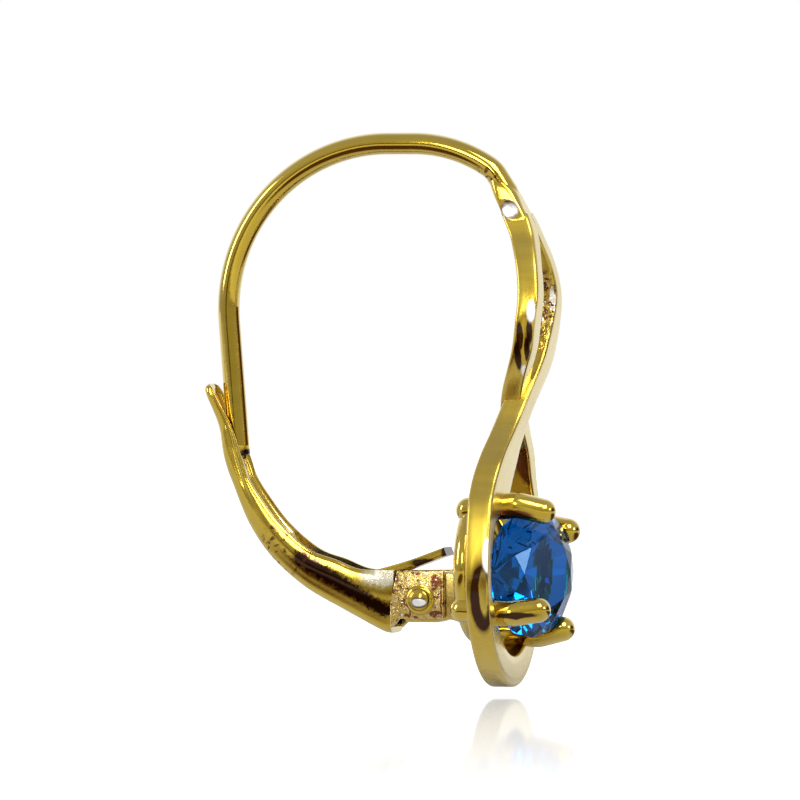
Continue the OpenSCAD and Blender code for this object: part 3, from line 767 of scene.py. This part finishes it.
# In a look, a spot holds its middle, reach, colour and sharpness, and "inner" on walls inside the
# loops. A speckle holds its size, level, colour and zone, and a dip its middle, reach and depth.
def goldMaterial(name, look):
    made, tree, shader, place, grain = startMaterial(name, look)
    vector = painted = place.outputs["Object"]
    rub = fromGroup(tree, rubGroup, {
        "Vector": vector, "Low": look["smoothest"], "High": look["roughest"]})
    tint = mixColours(tree, rub["Mask"], look["deep"], look["pale"])
    edge = added(tree, "ShaderNodeLayerWeight", {"Blend": gold["edgeBlend"]})
    tint = mixColours(tree, edge.outputs["Facing"], tint, look["edge"])
    if "ragged" in look:
        amount, size = look["ragged"]
        painted = fromGroup(tree, raggedGroup, {
            "Vector": vector, "Size": size, "Amount": amount * mm})["Vector"]
    nearWalls = allWalls = 1
    if look.get("onWalls"):
        nearWalls, allWalls = wallMasks(tree, place.outputs["Normal"])
    paintedHighlightMask = 0
    # the spots paint shade, dark reflections and highlights into the colour
    for middle, reach, colour, sharpness, *inner in look.get("spots", []):
        mask = spotMask(tree, painted, middle, reach, sharpness)
        mask = combined(tree, "MULTIPLY", mask, allWalls if inner else nearWalls)
        tint = mixColours(tree, mask, tint, colour)
        # spots in the painted highlight colour also make the surface rougher
        if colour == paintedHighlight:
            paintedHighlightMask = combined(tree, "MAXIMUM", mask, paintedHighlightMask)
    # pale speckles are painted glints
    for size, level, colour, zone in look.get("speckles", []):
        mask = fromGroup(tree, speckGroup, {"Vector": vector, "Size": size, "Level": level})["Mask"]
        if zone:
            inside = spotMask(tree, vector, *zone, gold["zoneSharpness"])
            mask = combined(tree, "MULTIPLY", mask, inside)
        tint = mixColours(tree, combined(tree, "MULTIPLY", mask, nearWalls), tint, colour)
    normal = grain["Normal"]
    if "rough" in look:
        # as-cast skin where the polishing wheel did not reach
        rough = look["rough"]
        mask = spotMask(tree, vector, *rough["place"], gold["roughSharpness"])
        mask = combined(tree, "MULTIPLY", mask, nearWalls)
        lumps = noise(tree, vector, rough["size"], gold["lumpDetail"]).outputs["Fac"]
        normal = bumped(tree, combined(tree, "MULTIPLY", lumps, mask), rough["depth"], normal)
    for middle, reach, depth in look.get("dips", []):
        normal = bumped(tree, spotMask(tree, vector, middle, reach), depth, normal, invert=True)
    feed(tree, shader, {
        "Base Color": tint, "Normal": normal, "Metallic": 1.0,
        "Roughness": combined(tree, "MULTIPLY_ADD", paintedHighlightMask, gold["frost"], rub["Roughness"]),
        "Coat Weight": look["coat"], "Coat Roughness": gold["coatRoughness"]})
    return made


# the plain gold, which each gold material below changes
tone = {"deep": (0.45, 0.26, 0.004), "pale": (0.62, 0.44, 0.035), "edge": (0.93, 0.84, 0.48),
        "coat": 0.4, "grainSize": 900, "grainDepth": 0.2, "grainDistance": 0.00002,
        "smoothest": 0.05, "roughest": 0.12}

polished = goldMaterial("polishedGold", {**tone, "roughest": 0.14})
wireGold = goldMaterial("wireGold", {
    **tone, "roughest": 0.14, "ragged": (0.05, 2500),
    # painted shade where the wire's end sits in the lever's tip
    "spots": [((0, 6.16, -11.62), (1.0, 0.34, 0.42), paintedShade, 4)],
    "speckles": [(5000, 0.52, darkRedBrownSpecks, ((-0.45, -3.4, -0.85), (0.5, 0.75, 0.55)))]})
ribbonGold = goldMaterial("ribbonGold", {
    **tone, "smoothest": 0.2, "roughest": 0.36, "ragged": (0.04, 3000), "onWalls": True,
    "dips": [((-2.05, -5.49, -7.1), (1.0, 0.36, 1.7), 0.06),
             ((-4.2, -4.27, -16.7), (1.2, 0.50, 2.3), 0.08)],
    "spots": [
        # painted dark reflection on the lower loop's near wall, round a gold middle, with a painted
        # highlight above it
        ((-4.2, -4.25, -17.02), (1.6, 0.56, 1.80), paintedShade, 7),
        ((-4.2, -4.35, -16.75), (1.6, 0.22, 1.12), (0.60, 0.43, 0.06), 7),
        ((-4.2, -4.52, -15.30), (1.6, 0.27, 0.85), paintedHighlight, 6),
        # painted dark reflections and painted highlights on the upper loop's near wall
        ((-2.05, -5.24, -6.95), (1.1, 0.17, 0.75), paintedShade, 5),
        ((-2.05, -5.12, -7.75), (1.1, 0.18, 0.80), paintedShade, 5),
        ((-2.05, -5.63, -6.75), (1.1, 0.16, 0.65), paintedShade, 5),
        ((-2.05, -5.50, -7.50), (1.1, 0.16, 0.70), paintedShade, 5),
        ((-2.05, -5.69, -6.00), (1.1, 0.22, 0.55), paintedHighlight, 5),
        ((-2.05, -5.33, -8.33), (1.1, 0.22, 0.38), paintedHighlight, 5),
        # painted highlight on the far ribbon's inner wall in the upper loop
        ((1.5, -5.74, -5.55), (1.2, 0.20, 0.70), paintedHighlight, 3),
        # painted shade on the inner walls above the stone and at the bottom of the lower loop
        ((1.8, -4.62, -11.9), (1.1, 0.70, 2.1), (0.22, 0.06, 0.010), 5, "inner"),
        ((1.4, -4.60, -19.3), (1.9, 0.80, 0.75), (0.13, 0.03, 0.006), 6, "inner")],
    # dark red-brown specks, and pale specks that are painted glints, on the far ribbon's inner wall
    # in the upper loop
    "speckles": [(5200, 0.50, darkRedBrownSpecks, ((1.4, -5.3, -6.0), (1.2, 1.2, 3.4))),
                 (9000, 0.56, (0.95, 0.90, 0.72), ((1.4, -5.5, -5.8), (1.2, 0.9, 2.0)))],
    "rough": {"place": ((1.1, -5.2, -6.4), (1.2, 1.4, 3.0)), "size": 4200, "depth": 0.09}})
headGold = goldMaterial("headGold", {
    **tone, "smoothest": 0.14, "roughest": 0.26, "ragged": (0.03, 3000),
    # painted shade round the dent and a painted highlight in it
    "spots": [((-0.55, -4.43, -2.12), (0.6, 0.52, 0.52), (0.16, 0.07, 0.02), 3),
              ((-0.55, -4.48, -2.12), (0.6, 0.46, 0.46), paintedHighlight, 1.8)]})
prongGold = goldMaterial("prongGold", {
    **tone, "roughest": 0.16, "ragged": (0.10, 2200),
    # painted shade on the prongs: under the near ones and on the far upper one
    "spots": [((-2.9, -5.30, -17.62), (0.8, 1.20, 0.17), paintedShade, 3),
              ((-1.9, -4.85, -13.82), (0.8, 1.20, 0.32), paintedRedBrownShade, 4),
              ((2.3, -5.9, -14.75), (0.8, 0.45, 0.35), paintedRedBrownShade, 3)]})
satin = goldMaterial("satinGold", {
    **tone, "grainSize": 2600, "grainDepth": 0.5, "grainDistance": 0.00004, "smoothest": 0.18,
    "roughest": 0.34, "deep": (0.46, 0.27, 0.02), "pale": (0.70, 0.52, 0.14)})
cheekGold = goldMaterial("cheekGold", {
    **tone, "grainSize": 1700, "grainDepth": 0.8, "grainDistance": 0.00008, "smoothest": 0.16,
    "roughest": 0.32, "deep": (0.50, 0.28, 0.02), "pale": (0.78, 0.60, 0.20), "ragged": (0.05, 2500),
    # dark red-brown speckles, and pale speckles that are painted glints
    "speckles": [(4200, 0.54, (0.20, 0.07, 0.015), None), (8000, 0.60, (0.96, 0.92, 0.75), None)],
    # dark red-brown patches, then painted shade round the rivet and a painted dark line along the
    # cheek's edge by the post
    "spots": [((-1.0, -1.62, -16.38), (0.5, 0.26, 0.40), (0.18, 0.05, 0.012), 3),
              ((-1.0, -1.64, -17.62), (0.5, 0.40, 0.18), (0.18, 0.05, 0.012), 3),
              ((0, -1.018, -17.09), (2.0, 0.90, 0.90), paintedRedBrownShade, 7),
              ((0, -1.86, -17.0), (2.0, 0.07, 1.6), (0.20, 0.06, 0.015), 4)]})
springGold = goldMaterial("springGold", {
    **tone, "smoothest": 0.1, "roughest": 0.24, "ragged": (0.10, 2500),
    # painted shade under the spring and on its end
    "spots": [((-0.6, -1.20, -15.70), (0.5, 0.90, 0.24), paintedShade, 4),
              ((0.0, -2.02, -15.25), (2.0, 0.34, 0.50), paintedShade, 7)]})
rivetGold = goldMaterial("rivetGold", {
    **tone, "smoothest": 0.1, "roughest": 0.22, "ragged": (0.03, 3000),
    # painted shade round a painted highlight on the near head
    "spots": [((-1.1, -1.02, -17.20), (0.5, 0.46, 0.28), paintedShade, 4),
              ((-1.1, -1.02, -17.19), (0.5, 0.38, 0.20), paintedHighlight, 5)]})
leverGold = goldMaterial("leverGold", {
    **tone, "grainSize": 1400, "grainDepth": 0.3, "smoothest": 0.06, "roughest": 0.2,
    "ragged": (0.24, 9000),
    "speckles": [(4200, 0.57, (0.16, 0.06, 0.01), ((-0.9, 4.2, -15.0), (0.8, 1.5, 1.5)))],
    "spots": [
        # painted highlight on the far wall inside the channel
        ((0.85, 2.6, -14.2), (0.35, 5.0, 4.5), (0.92, 0.80, 0.42), 3),
        # a painted dark reflection runs down the near wall to the hinge as a streak
        *[((-1.0, 3.7 - 0.41 * k, -15.55 - 0.245 * k), (0.8, 0.55, 0.46 - 0.015 * k), paintedShade, 2.5)
          for k in range(9)],
        # painted highlight near the hinge
        ((-1.0, 0.55, -16.22), (0.8, 1.10, 0.55), (0.95, 0.88, 0.66), 2)]})


def stoneMaterial(look):
    # the tint wanders a little between its two blues
    made, tree, shader, place, grain = startMaterial("blueStone", look)
    feed(tree, shader, {
        "Base Color": mixColours(tree, grain["Height"], look["deep"], look["pale"]),
        "Normal": grain["Normal"], "Roughness": look["roughness"], "IOR": look["ior"],
        "Specular Tint": look["glint"], "Transmission Weight": 1.0})
    return made


blueStone = stoneMaterial({
    "grainSize": 300, "grainDepth": 0.02, "grainDistance": 0.00001, "roughness": 0.02, "ior": 1.72,
    "deep": (0.0, 0.04, 0.30), "pale": (0.0, 0.17, 0.66), "glint": (0.22, 0.5, 1.0)})


def dress(piece, material, body, node):
    piece.data.materials.clear()
    piece.data.materials.append(material)
    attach(piece, body)
    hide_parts(node)


frameLooks = [(ribbons, ribbonGold), (head, headGold), (earWire, wireGold), (ring, polished),
              (post, satin)] + [(prong, prongGold) for prong in prongs]
for piece, look in frameLooks:
    dress(piece, look, "frame", "swirl_frame")
channel, *cheeks = leverPieces
dress(channel, leverGold, "lever", "lever")
for piece in cheeks:
    dress(piece, cheekGold, "lever", "lever")
dress(strip, springGold, "lever", "leaf_spring")
for piece in rivets:
    dress(piece, rivetGold, "lever", "hinge_rivet")
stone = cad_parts["stone"]
stone.data.materials.clear()
stone.data.materials.append(blueStone)
for face in stone.data.polygons:
    face.use_smooth = False
print("materials set")


# degrees and metres; wide is the width that the camera sees at what it aims at
view = {"azimuth": -75, "elevation": 0.8, "distance": 0.6, "aim": (0, 0.00004, -0.00944),
        "wide": 0.03077, "sensor": 36, "near": 0.01, "far": 5}

room = {
    "throughStone": 0.6, "sweepFrom": 0.3, "sweepTo": 0.7,
    # greys of the room, from straight down at 0 to straight up at 1
    "levels": [(0, 0.30), (0.30, 0.42), (0.50, 0.46), (0.75, 0.62), (1, 0.50)],
    # middle and reach of the dark things about the room, which show where the gold mirrors them
    "dark": (0.09, 0.04, 0.012), "darkSharpness": 5,
    "darkRoom": [((-970, 260, -60), (900, 170, 150)), ((426, -905, 0), (500, 500, 500))],
    "darkFloor": [((-36, 8, -20.7), (34, 17, 90)), ((9.5, -23, -20.7), (14, 20, 90))],
}


def darkened(tree, place, colour, patches):
    for middle, reach in patches:
        mask = spotMask(tree, place, middle, reach, room["darkSharpness"])
        colour = mixColours(tree, mask, colour, room["dark"])
    return colour


# distances from the object towards the camera are in metres
floorLook = {"half": 0.6, "z": -20.68 * mm, "white": 1.42, "grey": (0.6, 0.6, 0.6), "gloss": 0.04,
             "mirrorFrom": -0.014, "mirrorFull": -0.004, "mirror": 0.8, "mirrorTo": 0.155,
             "lowAngle": 5, "sweepFrom": -0.02, "sweepTo": -0.05}


def buildFloor():
    # white to the camera, with the object's mirror image in it, and a matt grey to everything else
    half, z = floorLook["half"], floorLook["z"]
    mesh = bpy.data.meshes.new("floor")
    mesh.from_pydata([(-half, -half, z), (half, -half, z), (half, half, z), (-half, half, z)],
                     [], [(0, 1, 2, 3)])
    floor = bpy.data.objects.new("floor", mesh)
    bpy.context.scene.collection.objects.link(floor)
    made = bpy.data.materials.new("paleFloor")
    made.use_nodes = True
    tree = made.node_tree
    tree.nodes.clear()
    place = tree.nodes.new("ShaderNodeNewGeometry").outputs["Position"]
    toCamera = tree.nodes.new("ShaderNodeLightPath").outputs["Is Camera Ray"]
    turn = math.radians(view["azimuth"])
    forward = combinedVectors(tree, "DOT_PRODUCT", place, (math.sin(turn), -math.cos(turn), 0))
    # the far half of the floor is the foot of the white sweep
    grey = darkened(tree, place, floorLook["grey"], room["darkFloor"])
    matt = added(tree, "ShaderNodeBsdfDiffuse", {"Color": grey})
    pale = tree.nodes.new("ShaderNodeEmission")
    sweep = mapped(tree, forward, floorLook["sweepFrom"], floorLook["sweepTo"], curve="SMOOTHSTEP")
    lit = mixShaders(tree, sweep, matt.outputs["BSDF"], pale.outputs["Emission"])
    white = added(tree, "ShaderNodeEmission", {"Strength": floorLook["white"]})
    seen = mixShaders(tree, toCamera, lit, white.outputs["Emission"])
    # the mirror image is strongest at the foot, fades towards the front and needs a low angle
    share = combined(tree, "MULTIPLY",
                     mapped(tree, forward, 0.0, floorLook["mirrorTo"], floorLook["mirror"], 0.0),
                     mapped(tree, forward, floorLook["mirrorFrom"], floorLook["mirrorFull"]))
    low = tree.nodes.new("ShaderNodeLayerWeight").outputs["Facing"]
    low = combined(tree, "POWER", low, floorLook["lowAngle"])
    share = combined(tree, "MULTIPLY", combined(tree, "MULTIPLY", share, low), toCamera)
    gloss = added(tree, "ShaderNodeBsdfGlossy", {"Roughness": floorLook["gloss"]})
    added(tree, "ShaderNodeOutputMaterial",
          {"Surface": mixShaders(tree, share, seen, gloss.outputs["BSDF"])})
    mesh.materials.append(made)


def buildWorld():
    # a white sweep on the far side, and on the near side a grey room that is paler overhead
    world = bpy.data.worlds.new("studio")
    bpy.context.scene.world = world
    world.use_nodes = True
    tree = world.node_tree
    tree.nodes.clear()
    place = tree.nodes.new("ShaderNodeTexCoord").outputs["Generated"]
    height = added(tree, "ShaderNodeSeparateXYZ", {"Vector": place}).outputs["Z"]
    ramp = added(tree, "ShaderNodeValToRGB", {"Fac": mapped(tree, height, -1, 1)})
    stops = ramp.color_ramp.elements
    for at, level in room["levels"]:
        stop = stops[0] if at == 0 else stops[-1] if at == 1 else stops.new(at)
        stop.color = (level, level, level, 1)
    turn = math.radians(view["azimuth"])
    toFar = combinedVectors(tree, "DOT_PRODUCT", place, (-math.sin(turn), math.cos(turn), 0))
    sweep = mapped(tree, toFar, room["sweepFrom"], room["sweepTo"], curve="SMOOTHSTEP")
    colour = mixColours(tree, sweep, ramp.outputs["Color"], (1, 1, 1))
    path = tree.nodes.new("ShaderNodeLightPath").outputs
    # less of the white sweep shows through the stone than a lens would gather from it
    near = added(tree, "ShaderNodeBackground", {
        "Color": darkened(tree, place, colour, room["darkRoom"]),
        "Strength": mapped(tree, path["Is Transmission Ray"], 0, 1, 1, room["throughStone"])})
    white = added(tree, "ShaderNodeBackground", {"Color": (1, 1, 1)})
    choose = mixShaders(tree, path["Is Camera Ray"], near.outputs["Background"],
                        white.outputs["Background"])
    added(tree, "ShaderNodeOutputWorld", {"Surface": choose})


lights = [  # name, place, aim, width and height, watts
    ("keyLight", (-0.16, -0.10, 0.16), (0, 0, -0.01), (0.12, 0.12), 0.46),
    ("rearLight", (-0.10, 0.18, 0.06), (0, 0, -0.01), (0.04, 0.10), 0.11),
    ("stoneLight", (-0.06, -0.25, 0.06), (0, -0.005, -0.016), (0.05, 0.05), 0.08),
    ("frontLight", (-0.189, 0.023, 0.05), (0, 0, -0.012), (0.03, 0.05), 0.057)]


def softLight(name, place, aim, size, watts):
    data = bpy.data.lights.new(name, "AREA")
    data.shape = "RECTANGLE"
    data.size, data.size_y = size
    data.energy = watts
    lamp = bpy.data.objects.new(name, data)
    lamp.location = Vector(place)
    lamp.rotation_euler = (Vector(aim) - Vector(place)).to_track_quat("-Z", "Y").to_euler()
    bpy.context.scene.collection.objects.link(lamp)


buildFloor()
buildWorld()
for light in lights:
    softLight(*light)
bpy.context.scene.view_settings.view_transform = "Standard"

camera = bpy.data.objects.new("camera", bpy.data.cameras.new("camera"))
bpy.context.scene.collection.objects.link(camera)
turn, rise = math.radians(view["azimuth"]), math.radians(view["elevation"])
away = Vector((math.sin(turn) * math.cos(rise), -math.cos(turn) * math.cos(rise), math.sin(rise)))
camera.location = Vector(view["aim"]) + away * view["distance"]
camera.rotation_euler = (-away).to_track_quat("-Z", "Y").to_euler()
camera.data.sensor_width = view["sensor"]
camera.data.lens = view["sensor"] * view["distance"] / view["wide"]
camera.data.clip_start = view["near"]
camera.data.clip_end = view["far"]
bpy.context.scene.camera = camera
print("studio set")
